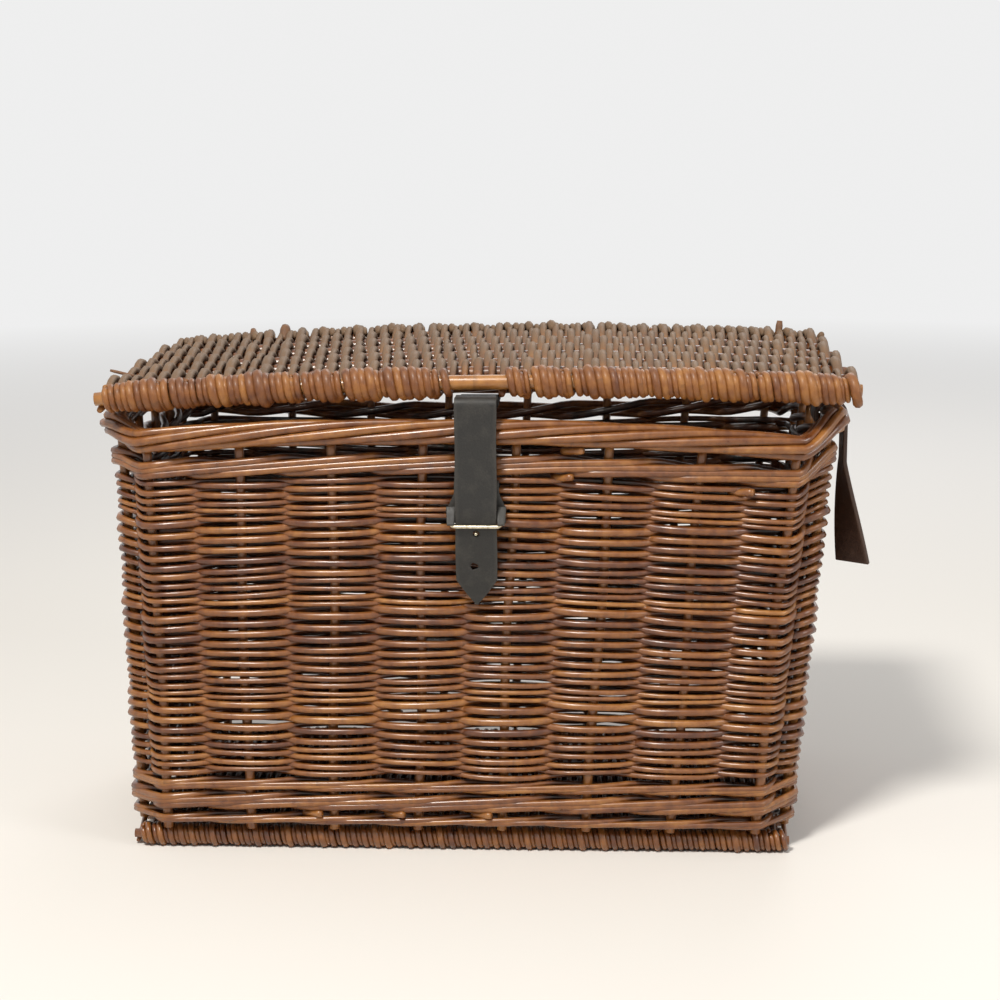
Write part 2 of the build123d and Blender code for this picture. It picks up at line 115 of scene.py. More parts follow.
def wallPoints(run, z, out):
    # run counts stakes round the basket, out is the distance outwards from the stake line
    low = np.floor(run).astype(int)
    share = (run - low)[:, None]
    here = np.array([stakeSpot(i, h) for i, h in zip(low, z)])
    there = np.array([stakeSpot(i + 1, h) for i, h in zip(low, z)])
    turn = facings[low % stakeCount] * (1 - share) + facings[(low + 1) % stakeCount] * share
    turn /= np.linalg.norm(turn, axis=1)[:, None]
    flat = here * (1 - share) + there * share + turn * out[:, None]
    return np.column_stack([flat[:, 0] + leanAt(z), flat[:, 1], z])


def riseAt(run):
    # the rim's height over the level of the front: bowed along the front, higher round the rest
    run = np.mod(run, stakeCount)
    lastFront = shell["frontStakes"] - 1
    share = run / lastFront
    corners = shell["bowLeft"] * (1 - share) + shell["bowRight"] * share
    top = shell["bowMiddle"] - (shell["bowLeft"] + shell["bowRight"]) / 2
    front = corners + top * (1 - (2 * share - 1) ** 2)
    rearward = np.clip((run - 12) / 9, 0, 1)
    high = shell["riseRight"] * (1 - rearward) + shell["riseLeft"] * rearward
    high = high - shell["backDip"] * np.sin(pi * np.clip((run - 13) / 7, 0, 1))
    climb = np.clip(np.minimum(run - lastFront, stakeCount - run), 0, 1)
    climb = climb * climb * (3 - 2 * climb)
    low = np.where(run < stakeCount / 2, shell["bowRight"], shell["bowLeft"])
    return np.where(run <= lastFront, front, low + (high - low) * climb)


def liftedZ(z, run):
    return z + riseAt(run) * np.clip((z - weaveLow) / (rimTop - weaveLow), 0, 1)


def waver(run, z, size):
    # a slow unevenness that neighbouring rows share
    turns = 2 * pi * run / stakeCount
    wave = np.sin(3 * turns + 40 * z) + 0.7 * np.sin(7 * turns - 63 * z + 1.3)
    wave = wave + 0.5 * np.sin(11 * turns + 90 * z + 2.1)
    return size * wave / 2.2


def rod(points, radius, tone, closed=False, dust=0.0):
    # one rod's line, and how its thickness, tone and dust run along it
    steps = np.linalg.norm(np.diff(points, axis=0), axis=1)
    run = np.concatenate([[0], np.cumsum(steps)]) + draw.uniform(0, 3)
    made = {"points": points, "run": run, "closed": closed}
    for key, value in (("radius", radius), ("tone", tone), ("dust", dust)):
        made[key] = np.zeros(len(points)) + value
    return made


def layRods(name, rods, roundness=2):
    # one mesh of tubes, with each rod's tone, dust and length kept as attributes for its material
    sides = 4 + 2 * roundness
    curve = bpy.data.curves.new(name, "CURVE")
    curve.dimensions = "3D"
    curve.bevel_depth = 1.0
    curve.bevel_resolution = roundness
    curve.use_fill_caps = True
    for one in rods:
        spline = curve.splines.new("POLY")
        spline.points.add(len(one["points"]) - 1)
        spline.points.foreach_set("co", np.column_stack([one["points"], np.ones(len(one["points"]))]).ravel())
        spline.points.foreach_set("radius", one["radius"])
        spline.use_cyclic_u = one["closed"]
        spline.use_smooth = True
    holder = bpy.data.objects.new(name, curve)
    mesh = bpy.data.meshes.new_from_object(holder)
    bpy.data.objects.remove(holder)
    bpy.data.curves.remove(curve)
    for key in ("tone", "dust", "run"):
        capped = [one for one in reversed(rods) if not one["closed"]]
        values = [np.repeat([one[key][-1], one[key][0]], sides) for one in capped]
        values += [np.repeat(one[key], sides) for one in rods]
        mesh.attributes.new(key, "FLOAT", "POINT").data.foreach_set("value", np.concatenate(values))
    work = bmesh.new()
    work.from_mesh(mesh)
    bmesh.ops.remove_doubles(work, verts=work.verts, dist=1e-7)
    work.to_mesh(mesh)
    work.free()
    piece = bpy.data.objects.new(name, mesh)
    scene.collection.objects.link(piece)
    mesh.name = name
    return piece


def settle(piece, body, nodes, finish):
    piece.data.materials.clear()
    piece.data.materials.append(finish)
    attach(piece, body)
    if nodes:
        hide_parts(*nodes)
    return piece


def newFinish(name):
    finish = bpy.data.materials.new(name)
    finish.use_nodes = True
    tree = finish.node_tree
    shader = tree.nodes["Principled BSDF"]
    return finish, tree, shader


def addNode(tree, kind, **values):
    node = tree.nodes.new(kind)
    for key, value in values.items():
        if hasattr(node, key):
            setattr(node, key, value)
        else:
            node.inputs[key.replace("_", " ")].default_value = value
    return node


def ramp(tree, source, stops):
    node = tree.nodes.new("ShaderNodeValToRGB")
    band = node.color_ramp
    while len(band.elements) < len(stops):
        band.elements.new(0.5)
    for element, (place, colour) in zip(band.elements, stops):
        element.position = place
        element.color = (*colour, 1) if len(colour) == 3 else (colour[0],) * 3 + (1,)
    tree.links.new(source, node.inputs["Fac"])
    return node.outputs["Color"]


def mixColour(tree, factor, first, second, blend="MIX"):
    node = tree.nodes.new("ShaderNodeMix")
    node.data_type = "RGBA"
    node.blend_type = blend
    for socket, value in ((node.inputs[0], factor), (node.inputs[6], first), (node.inputs[7], second)):
        if isinstance(value, bpy.types.NodeSocket):
            tree.links.new(value, socket)
        elif isinstance(value, (int, float)):
            socket.default_value = value
        else:
            socket.default_value = (*value, 1)
    return node.outputs[2]


def maths(tree, operation, first, second=0.0):
    node = tree.nodes.new("ShaderNodeMath")
    node.operation = operation
    for socket, value in zip(node.inputs, (first, second)):
        if isinstance(value, bpy.types.NodeSocket):
            tree.links.new(value, socket)
        else:
            socket.default_value = value
    return node.outputs[0]


willow = {
    "dark": (0.014, 0.005, 0.0015),
    "red": (0.105, 0.028, 0.006),
    "brown": (0.225, 0.078, 0.015),
    "gold": (0.430, 0.190, 0.042),
    "dust": (0.155, 0.105, 0.065),
    "scar": (0.055, 0.020, 0.008),
    "mottle": 160,
    "streak": 900,
    "uneven": 0.75,           # how far the mottle shifts a rod's tone
    "scarEvery": 0.062,       # leaf scars across the rod every few centimetres
    "scarDepth": 0.42,
    "roughSpread": 0.16,
    "dustRough": 0.85,
    "coatRough": 0.22,
    "bump": 0.35,
    "bumpDepth": 0.0003,
}


def willowFinish(name, shine, coat):
    finish, tree, shader = newFinish(name)
    place = addNode(tree, "ShaderNodeTexCoord").outputs["Object"]
    tone = addNode(tree, "ShaderNodeAttribute", attribute_name="tone").outputs["Fac"]
    dust = addNode(tree, "ShaderNodeAttribute", attribute_name="dust").outputs["Fac"]
    run = addNode(tree, "ShaderNodeAttribute", attribute_name="run").outputs["Fac"]
    mottle = addNode(tree, "ShaderNodeTexNoise", Scale=willow["mottle"], Detail=5.0, Roughness=0.62)
    tree.links.new(place, mottle.inputs["Vector"])
    fine = addNode(tree, "ShaderNodeTexNoise", Scale=willow["streak"], Detail=3.0)
    tree.links.new(place, fine.inputs["Vector"])
    uneven = maths(tree, "MULTIPLY", maths(tree, "SUBTRACT", mottle.outputs["Fac"], 0.5), willow["uneven"])
    # the tone attribute holds each rod's own tone, lowered by painted shade where rods run behind stakes; the
    # ramp's dark end is reached mostly there
    colour = ramp(tree, maths(tree, "ADD", tone, uneven), [
        (0.0, willow["dark"]), (0.32, willow["red"]), (0.58, willow["brown"]), (0.95, willow["gold"])])
    beat = maths(tree, "FRACT", maths(tree, "DIVIDE", run, willow["scarEvery"]))
    scar = ramp(tree, beat, [(0.0, (0,)), (0.010, (1,)), (0.03, (0.6,)), (0.055, (0,))])
    scar = maths(tree, "MULTIPLY", scar, maths(tree, "GREATER_THAN", mottle.outputs["Fac"], 0.5))
    colour = mixColour(tree, maths(tree, "MULTIPLY", scar, willow["scarDepth"]), colour, willow["scar"])
    dulled = maths(tree, "MULTIPLY", dust, ramp(tree, fine.outputs["Fac"], [(0.3, (0.72,)), (0.62, (1,))]))
    colour = mixColour(tree, dulled, colour, willow["dust"])
    tree.links.new(colour, shader.inputs["Base Color"])
    rough = ramp(tree, mottle.outputs["Fac"], [(0.3, (shine,)), (0.7, (shine + willow["roughSpread"],))])
    rough = mixColour(tree, dust, rough, (willow["dustRough"],) * 3)
    tree.links.new(rough, shader.inputs["Roughness"])
    shader.inputs["Coat Weight"].default_value = coat
    shader.inputs["Coat Roughness"].default_value = willow["coatRough"]
    bump = addNode(tree, "ShaderNodeBump", Strength=willow["bump"], Distance=willow["bumpDepth"])
    coarse = maths(tree, "MULTIPLY", mottle.outputs["Fac"], 0.7)
    height = maths(tree, "ADD", coarse, maths(tree, "MULTIPLY", fine.outputs["Fac"], 0.3))
    tree.links.new(height, bump.inputs["Height"])
    tree.links.new(bump.outputs["Normal"], shader.inputs["Normal"])
    return finish


wallFinish = willowFinish("varnishedWillow", 0.27, 0.45)
lidFinish = willowFinish("dustyWillow", 0.42, 0.10)
print("willow finishes made")

# the woven walls: each row is two rods, that pass before one stake and behind the next
walls = {
    "bandHeight": 0.050,      # rods run from thick to thin over this height
    "bandTop": 0.184,
    "thick": 0.0043,
    "thin": 0.0025,
    "packing": 1.33,          # how much thicker a rod is than its row is high
    "stepsPerBay": 7,
    "rodBays": 13,
    "overlap": 0.6,           # in bays, where one rod ends and the next begins
    "startAt": 0.45,
    "taper": (1.07, 0.92),
    "tip": 0.7,
    "bulge": 1.5,
    "waver": 0.0011,
    "ripple": 0.0004,
    "backBays": (12.4, 20.6),
    "fullerBack": 1.22,       # the back is packed closer
    "fullerInside": 0.16,     # and the rods are fuller where they run inside
    "shadeBehindStakes": 0.42,            # and darker there: painted shade where they run behind the stakes
    "tone": 0.50,
    "rowSpread": 0.15,
    "rodSpread": 0.09,
    "fine": 0.003,            # rods thinner than this are paler
    "finePaler": 0.06,
}


def rowThickness(z):
    share = ((z - walls["bandTop"]) / walls["bandHeight"]) % 1.0
    return walls["thin"] + (walls["thick"] - walls["thin"]) * share


def wallRows():
    heights, thicknesses = [], []
    z = weaveLow
    while z < weaveTop:
        thick = rowThickness(z) * draw.uniform(0.9, 1.1)
        heights.append(z + thick / walls["packing"] / 2)
        thicknesses.append(thick)
        z += thick / walls["packing"]
    stretch = (weaveTop - weaveLow) / (z - weaveLow)
    return [weaveLow + (h - weaveLow) * stretch for h in heights], thicknesses


def wallRod(first, bays, z, thick, parity, tone):
    run = np.linspace(first, first + bays, int(bays * walls["stepsPerBay"]) + 1)
    across = np.cos(pi * (run + parity))
    across = np.tanh(walls["bulge"] * across) / np.tanh(walls["bulge"])
    radius = thick / 2 * np.linspace(*walls["taper"], len(run))
    radius[[0, -1]] *= walls["tip"]
    around = np.mod(run, stakeCount)
    atBack = (around > walls["backBays"][0]) & (around < walls["backBays"][1])
    radius *= np.where(atBack, walls["fullerBack"], 1.0)
    radius *= 1 + walls["fullerInside"] * np.clip(-across, 0, 1)
    out = across * (shell["stakeRadius"] + thick / 2)
    height = liftedZ(np.full(len(run), z), run) + waver(run, z, walls["waver"])
    height += walls["ripple"] * np.sin(run * 1.7 + z * 900)
    # painted shade: the rod's tone drops where it runs inside, behind a stake
    shadedTone = tone - walls["shadeBehindStakes"] * np.clip(-across, 0, 1)
    return rod(wallPoints(run, height, out), radius, shadedTone)


heights, thicknesses = wallRows()
print("rows in the wall", len(heights))
wallRods = []
for number, (z, thick) in enumerate(zip(heights, thicknesses)):
    first = int(draw.integers(0, stakeCount)) + walls["startAt"]
    rowTone = walls["tone"] + draw.uniform(-walls["rowSpread"], walls["rowSpread"])
    if thick < walls["fine"]:
        rowTone += walls["finePaler"]
    for half in range(2):
        start = first + half * walls["rodBays"]
        tone = rowTone + draw.uniform(-walls["rodSpread"], walls["rodSpread"])
        wallRods.append(wallRod(start, walls["rodBays"] + walls["overlap"], z, thick, number % 2, tone))
sidingNodes = ["front_siding", "right_siding", "back_siding", "left_siding", "corner_siding"]
third = len(wallRods) // 3
for number, name in enumerate(("lowerWall", "middleWall", "upperWall")):
    share = wallRods[number * third:(number + 1) * third if number < 2 else None]
    settle(layRods(name, share), "basket", sidingNodes, wallFinish)
print("walls woven")

stakes = {
    "foot": 0.0128,
    "topGap": 0.004,
    "bend": 0.0006,
    "sway": 0.03,             # in bays
    "steps": 24,
    "taper": (1.03, 0.93),
    "tone": 0.62,
    "toneSpread": 0.1,
}


def stakeRod(index):
    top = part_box("top_border")[0].z + stakes["topGap"] + riseAt(np.array([float(index)]))[0]
    z = np.linspace(stakes["foot"], top, stakes["steps"])
    free = np.sin(pi * (z - z[0]) / (top - z[0]))
    run = index + stakes["sway"] * np.sin(z * 23 + index * 2.1) * free
    radius = shell["stakeRadius"] * np.linspace(*stakes["taper"], len(z))
    points = wallPoints(run + stakeCount, z, stakes["bend"] * np.sin(z * 31 + index))
    return rod(points, radius, stakes["tone"] + draw.uniform(-stakes["toneSpread"], stakes["toneSpread"]))


firstStake = 0
for side in ("front", "right", "back", "left"):
    count = shell["frontStakes"] if side in ("front", "back") else shell["sideStakes"]
    made = [stakeRod(firstStake + number) for number in range(count)]
    settle(layRods(side + "StakeRods", made), "basket", [side + "_stakes"], wallFinish)
    firstStake += count
print("stakes set")

# the heavy bands below and above the weave, and the rim
wales = {
    "stepsPerBay": 7,
    "foot": {"strands": 3, "thick": 0.0036, "tone": 0.52},
    "heavy": {"strands": 4, "thick": 0.0043, "tone": 0.52},
    "light": {"strands": 4, "thick": 0.0030, "tone": 0.58},
    "footOver": 0.0012,       # the foot wale stands this much over its solid
    "heavyShare": 0.6,        # of the lower wale, the rest is light
    "upperGap": 0.0004,
    "upperHeight": 0.0125,
    "dive": 2.2,              # how sharply a rod drops behind its stake
    "waver": 0.0006,
    "swell": 0.10,
    "toneSwing": 0.10,
    # painted shade: how much darker a rod's tone is where it drops behind its stake
    "shadeBehindStakes": 0.35,
}


def waleRods(low, high, strands, thick, tone):
    # each rod lies outside for all its bays but one, climbs as it goes, and drops behind a stake
    loops = strands // gcd(stakeCount % strands, strands)
    rods = []
    for start in range(strands // loops):
        run = np.linspace(0, stakeCount * loops, stakeCount * loops * wales["stepsPerBay"] + 1)[:-1]
        phase = np.mod(run - start, strands)
        outside = np.clip(np.minimum(phase - 0.5, strands - 0.5 - phase) * wales["dive"], -1, 1)
        outside = np.sin(outside * pi / 2)
        share = np.clip((phase - 0.5) / (strands - 1), 0, 1)
        share = np.where(phase < 0.5, 0.5 - phase, share)
        share = np.where(phase > strands - 0.5, 1 - (phase - strands + 0.5), share)
        base = low + thick / 2 + (high - low - thick) * share
        height = liftedZ(base, run) + waver(run, low, wales["waver"])
        out = outside * (shell["stakeRadius"] + thick / 2)
        taper = 1 + wales["swell"] * np.cos(phase / strands * 2 * pi)
        tones = tone + wales["toneSwing"] * np.sin(run * 0.83 + start * 2)
        # painted shade on the length of rod behind the stake
        tones = tones - wales["shadeBehindStakes"] * (outside < 0)
        rods.append(rod(wallPoints(run, height, out), thick / 2 * taper, tones, closed=True))
    return rods


def bandOf(node):
    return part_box(node)[0].z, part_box(node)[1].z


footLow, footHigh = bandOf("foot_wale")
footRods = waleRods(footLow, footHigh + wales["footOver"], **wales["foot"])
settle(layRods("footWaleRods", footRods), "basket", ["foot_wale"], wallFinish)
lowLow, lowHigh = bandOf("lower_wale_outer")
split = lowLow + wales["heavyShare"] * (lowHigh - lowLow)
lowerRods = waleRods(lowLow, split, **wales["heavy"]) + waleRods(split, lowHigh, **wales["light"])
lowerNodes = ["lower_wale_outer", "lower_wale_inner"]
settle(layRods("lowerWaleRods", lowerRods), "basket", lowerNodes, wallFinish)
upLow = weaveTop + wales["upperGap"]
upperRods = waleRods(upLow, upLow + wales["upperHeight"], **wales["heavy"])
upperNodes = ["upper_wale_outer", "upper_wale_inner"]
settle(layRods("upperWaleRods", upperRods), "basket", upperNodes, wallFinish)

border = {
    "strands": 6,
    "rod": 0.0048,
    "bundle": 0.0047,         # the rods wind round a core at this distance
    "core": 0.0062,
    "out": 0.005,
    "up": 0.007,
    "waver": 0.0005,
    "tone": 0.55,
    "toneSwing": 0.10,
    # the core shows only in the gaps between the strands, so its dark tone is painted shade
    "coreShadeTone": 0.2,
}


def borderRods():
    strands = border["strands"]
    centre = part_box("top_border")[0].z + border["up"]
    loops = strands // gcd(stakeCount % strands, strands)
    rods = []
    for start in range(strands // loops):
        run = np.linspace(0, stakeCount * loops, stakeCount * loops * wales["stepsPerBay"] + 1)[:-1]
        turn = 2 * pi * (run - start) / strands
        out = border["out"] + border["bundle"] * np.cos(turn)
        base = centre + border["bundle"] * np.sin(turn)
        tones = border["tone"] + border["toneSwing"] * np.sin(run * 0.61 + start * 3)
        height = base + riseAt(run) + waver(run, 0.23, border["waver"])
        rods.append(rod(wallPoints(run, height, out), border["rod"] / 2, tones, closed=True))
    # the core rod, toned dark as painted shade in the gaps between the strands
    run = np.linspace(0, stakeCount, stakeCount * wales["stepsPerBay"] + 1)[:-1]
    core = wallPoints(run, centre + riseAt(run), np.full(len(run), border["out"]))
    rods.append(rod(core, border["core"] / 2, border["coreShadeTone"], closed=True))
    return rods


butt = {
    "radius": 0.0021,
    "bays": 0.22,             # how much of it shows
    "out": (-0.001, 0.0040),
    "climb": 0.001,
    "tip": 0.82,
    "tone": 0.66,
    "footHeight": 0.0222,
    "footRuns": (1.86, 2.84, 3.87, 9.6, 11.7, 15.85, 17.8, 22.7),
    "rimSpots": ((4.72, 0.2205), (4.62, 0.2065), (6.55, 0.2035), (10.6, 0.206),
                 (16.7, 0.2065), (19.6, 0.221), (23.5, 0.207)),
}


def buttEnd(run, z):
    # the cut end of a rod, where it comes out between two stakes
    along = np.linspace(run - butt["bays"], run, 7)
    out = np.linspace(butt["out"][0], shell["stakeRadius"] + butt["out"][1], 7)
    height = liftedZ(np.linspace(z - butt["climb"], z + butt["climb"], 7), along)
    sizes = np.full(7, butt["radius"])
    sizes[-1] *= butt["tip"]
    return rod(wallPoints(along + stakeCount, height, out), sizes, butt["tone"])


butts = [buttEnd(run, butt["footHeight"]) for run in butt["footRuns"]]
butts += [buttEnd(run, z) for run, z in butt["rimSpots"]]
settle(layRods("buttEnds", butts), "basket", [], wallFinish)
settle(layRods("rimBorderRods", borderRods()), "basket", ["top_border"], wallFinish)
print("wales and border laid")

# the mats of the lid and the base: rods woven to and fro across seven sticks
lidMat = {
    "stick": 0.004,
    "camber": 0.0068,
    "tilt": 0.0026,
    "drop": -0.0018,          # the old lid has settled on the rim
    "lean": 0.003,
    "short": 0.0026,
    "margin": 0.0005,
    "thick": 0.0060,
    "thin": 0.0030,
    "packing": 1.22,
    "bayMeshSteps": 5,
    "notch": (-0.0115, 0.0135),
    "tones": (0.40, 0.68),
}
baseMat = {
    "stick": 0.0028,
    "short": 0.0015,
    "thick": 0.0038,
    "thin": 0.0030,
    "packing": 1.02,
    "bayMeshSteps": 4,
    "notch": None,
    "tones": (0.36, 0.60),
    "stickTone": 0.5,
}
mats = {
    "rowsToRod": (2, 5),      # rows before a rod ends
    "butt": (0.85, 1.06),
    "taper": (0.80, 0.94),    # how much thinner each row of a rod is than the one before
    "tip": 0.75,
    "wave": 0.0006,
    "wrapSteps": 7,
    "notchStart": 0.34,       # in bays, where rods stop short of the front stick
    "notchEnd": 0.9,
    "notchTop": 0.001,
    "notchSlope": 0.006,
    "turnWidth": 1.16,
    "turnSpread": (0.88, 1.15),
    "turnProud": 0.0006,
    "turnPast": 0.3,
    "turnSteps": 15,
}


def halfTurn(share, startTop):
    # the angle round an outer stick, from its top to its foot or the other way
    return pi / 2 - pi * share if startTop else -pi / 2 + pi * share


def matRods(places, z, xEnd, mat, lift, dustAt, lean):
    # one rod goes to and fro across the sticks, round the first and the last
    pitch = places[1] - places[0]
    last = len(places) - 1
    rods, points, radii, toneList, dustList = [], [], [], [], []
    turns = {True: [], False: []}
    x = -xEnd
    forwards, over = True, -1
    sizeNow = mat["thick"]
    tone = mat["tones"][0]
    rowsLeft = 0

    def cutRod():
        if len(points) > 3:
            sizes = np.array(radii)
            sizes[[0, -1]] *= mats["tip"]
            rods.append(rod(np.array(points), sizes, np.array(toneList), dust=np.array(dustList)))
        for done in (points, radii, toneList, dustList):
            done.clear()

    def put(px, py, pz):
        points.append((px + lean, py, z + pz + lift(px)))
        radii.append(sizeNow / 2)
        toneList.append(tone)
        dustList.append(dustAt(px, py, pz))

    while x < xEnd:
        if rowsLeft <= 0:
            rowsLeft = draw.integers(*mats["rowsToRod"])
            sizeNow = mat["thick"] * draw.uniform(*mats["butt"])
            tone = draw.uniform(*mat["tones"])
        sizeNow = max(mat["thin"], sizeNow * draw.uniform(*mats["taper"]))
        stepX = sizeNow / mat["packing"]
        reach = mat["stick"] + sizeNow / 2
        inNotch = mat["notch"] and mat["notch"][0] < x + stepX / 2 < mat["notch"][1]
        begin = mats["notchStart"] if inNotch else 0.0
        along = np.linspace(begin, last, int((last - begin) * mat["bayMeshSteps"]) + 1)
        if not forwards:
            along = along[::-1]
        waveX = draw.uniform(-mats["wave"], mats["wave"])
        for v in along:
            height = over * reach * cos(pi * v)
            if inNotch and v < mats["notchEnd"]:
                height = min(height, mats["notchTop"] - (mats["notchEnd"] - v) * mats["notchSlope"])
            put(x + stepX / 2 + waveX * sin(v * 2), places[0] + v * pitch, height)
        rowsLeft -= 1
        atFront = not forwards
        if atFront and inNotch or rowsLeft <= 0:
            cutRod()
        if not (atFront and inNotch):
            side = -1 if atFront else 1
            centre = places[0] if atFront else places[-1]
            startTop = over * cos(pi * (0 if atFront else last)) > 0
            turns[atFront].append((x + stepX / 2, stepX, startTop))
            for number in range(1, mats["wrapSteps"]):
                share = number / mats["wrapSteps"]
                angle = halfTurn(share, startTop)
                put(x + stepX / 2 + stepX * share, centre + side * reach * cos(angle), reach * sin(angle))
        x += stepX
        forwards = not forwards
        over = -over
    cutRod()
    # further turns fill the edges between, each beside the turn before it
    for atFront, made in turns.items():
        centre = places[0] if atFront else places[-1]
        side = -1 if atFront else 1
        for startX, step, startTop in made:
            if startX + 2 * step > xEnd:
                continue
            if atFront and mat["notch"] and mat["notch"][0] - step * 2.4 < startX < mat["notch"][1]:
                continue
            share = np.linspace(-mats["turnPast"], 1 + mats["turnPast"], mats["turnSteps"])
            angle = halfTurn(share, startTop)
            size = step * mats["turnWidth"] * draw.uniform(*mats["turnSpread"])
            reach = mat["stick"] + size / 2 + mats["turnProud"] * draw.uniform(0, 1)
            px = startX + step * (1 + share)
            py = centre + side * reach * np.cos(angle)
            pz = reach * np.sin(angle)
            dusts = [dustAt(a, b, c) for a, b, c in zip(px, py, pz)]
            shape = np.column_stack([px + lean, py, z + pz + np.array([lift(a) for a in px])])
            rods.append(rod(shape, size / 2, draw.uniform(*mat["tones"]), dust=np.array(dusts)))
    return rods


lidLow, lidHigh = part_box("lid_front_stick")
lidZ = (lidLow.z + lidHigh.z) / 2
lidFront = (lidLow.y + lidHigh.y) / 2
lidPlaces = np.linspace(lidFront, -lidFront, 7)
lidReach = lidHigh.x - lidMat["short"]


def lidLift(x):
    return lidMat["drop"] + lidMat["camber"] * (1 - (x / lidReach) ** 2) + lidMat["tilt"] * x / lidReach


def lidDust(x, y, z):
    # dust lies on top, less so towards the handled front edge
    top = np.clip((z + 0.001) / 0.004, 0, 1)
    front = np.clip((y - lidFront + 0.001) / 0.012, 0, 1)
    return float(0.95 * top * (0.12 + 0.88 * front))


lidRods = matRods(lidPlaces, lidZ, lidReach - lidMat["margin"], lidMat, lidLift, lidDust, lidMat["lean"])
# rod ends that stand out of the old lid: start, end and radius, from the lid's middle plane
stubs = [
    ((-0.131, 0.100, 0.002), (-0.131, 0.1075, 0.0105), 0.0033),
    ((0.176, 0.104, -0.002), (0.1775, 0.1065, 0.0125), 0.0023),
    ((-0.1935, -0.048, 0.004), (-0.2065, -0.050, 0.0075), 0.0009),
    ((-0.150, 0.100, 0.0), (-0.1515, 0.108, 0.0095), 0.0022),
]
for start, end, radius in stubs:
    shape = np.linspace(start, end, 6) + np.array([lidMat["lean"], 0, lidZ + lidLift(start[0])])
    lidRods.append(rod(shape, radius * np.array([1, 1, 1, 1, 1, 0.75]), 0.45, dust=0.5))
lidLeft = [one for one in lidRods if one["points"][:, 0].mean() < 0]
lidRight = [one for one in lidRods if one["points"][:, 0].mean() >= 0]
settle(layRods("lidWeaveLeft", lidLeft), "lid", ["lid_weave"], lidFinish)
settle(layRods("lidWeaveRight", lidRight), "lid", ["lid_weave"], lidFinish)


def stickRod(y, z, reach, radius, tone, lift, lean):
    x = np.linspace(-reach, reach, 41)
    sizes = np.full(41, radius)
    sizes[[0, -1]] *= 0.9
    shape = np.column_stack([x + lean, np.full(41, y), z + np.array([lift(a) for a in x])])
    return rod(shape, sizes, tone)


lidSticks = (
    ("lidFrontRod", "lid_front_stick", lidPlaces[:1], 0.78),
    ("lidBackRod", "lid_back_stick", lidPlaces[-1:], 0.5),
    ("lidInnerRods", "lid_inner_sticks", lidPlaces[1:-1], 0.45),
)
for name, node, places, tone in lidSticks:
    made = [stickRod(y, lidZ, lidReach, lidMat["stick"], tone, lidLift, lidMat["lean"]) for y in places]
    settle(layRods(name, made, 3), "lid", [node], wallFinish)
print("lid woven", len(lidRods))

baseLow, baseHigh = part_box("base_front_stick")
baseZ = (baseLow.z + baseHigh.z) / 2
baseFront = (baseLow.y + baseHigh.y) / 2
basePlaces = np.linspace(baseFront, -baseFront, 7)
baseReach = baseHigh.x - baseMat["short"]
baseLean = float(leanAt(0.0))


def flat(x):
    return 0.0


def clean(x, y, z):
    return 0.0


baseRods = matRods(basePlaces, baseZ, baseReach, baseMat, flat, clean, baseLean)
settle(layRods("baseWeaveRods", baseRods), "basket", ["base_weave"], wallFinish)
baseSticks = (
    ("baseFrontRod", "base_front_stick", basePlaces[:1]),
    ("baseBackRod", "base_back_stick", basePlaces[-1:]),
    ("baseInnerRods", "base_inner_sticks", basePlaces[1:-1]),
)
for name, node, places in baseSticks:
    radius, tone = baseMat["stick"], baseMat["stickTone"]
    made = [stickRod(y, baseZ, baseReach, radius, tone, flat, baseLean) for y in places]
    settle(layRods(name, made), "basket", [node], wallFinish)
print("base woven", len(baseRods))

def leatherFinish(name, colour, worn, rough):
    finish, tree, shader = newFinish(name)
    place = addNode(tree, "ShaderNodeTexCoord").outputs["Object"]
    grain = addNode(tree, "ShaderNodeTexNoise", Scale=1400.0, Detail=4.0, Roughness=0.6)
    patch = addNode(tree, "ShaderNodeTexNoise", Scale=110.0, Detail=5.0, Roughness=0.7)
    cells = addNode(tree, "ShaderNodeTexVoronoi", Scale=900.0)
    for node in (grain, patch, cells):
        tree.links.new(place, node.inputs["Vector"])
    edge = addNode(tree, "ShaderNodeAttribute", attribute_name="edge").outputs["Fac"]
    scuffs = ramp(tree, patch.outputs["Fac"], [(0.48, (0,)), (0.72, (1,))])
    shade = mixColour(tree, maths(tree, "MULTIPLY", scuffs, 0.55), colour, worn)
    shade = mixColour(tree, maths(tree, "MULTIPLY", edge, 0.45), shade, worn)
    speck = ramp(tree, grain.outputs["Fac"], [(0.35, (0.75,)), (0.65, (1.12,))])
    shade = mixColour(tree, 1.0, shade, speck, "MULTIPLY")
    tree.links.new(shade, shader.inputs["Base Color"])
    roughness = ramp(tree, patch.outputs["Fac"], [(0.3, (rough,)), (0.7, (rough + 0.2,))])
    tree.links.new(roughness, shader.inputs["Roughness"])
    bump = addNode(tree, "ShaderNodeBump", Strength=0.4, Distance=0.0002)
    height = maths(tree, "ADD", cells.outputs["Distance"], maths(tree, "MULTIPLY", patch.outputs["Fac"], 1.5))
    tree.links.new(height, bump.inputs["Height"])
    tree.links.new(bump.outputs["Normal"], shader.inputs["Normal"])
    return finish


def metalFinish(name, colour, tarnish):
    finish, tree, shader = newFinish(name)
    place = addNode(tree, "ShaderNodeTexCoord").outputs["Object"]
    patch = addNode(tree, "ShaderNodeTexNoise", Scale=420.0, Detail=5.0, Roughness=0.65)
    tree.links.new(place, patch.inputs["Vector"])
    worn = ramp(tree, patch.outputs["Fac"], [(0.45, (0,)), (0.68, (1,))])
    tree.links.new(mixColour(tree, worn, colour, tarnish), shader.inputs["Base Color"])
    roughness = ramp(tree, patch.outputs["Fac"], [(0.3, (0.25,)), (0.7, (0.5,))])
    tree.links.new(roughness, shader.inputs["Roughness"])
    shader.inputs["Metallic"].default_value = 1.0
    return finish


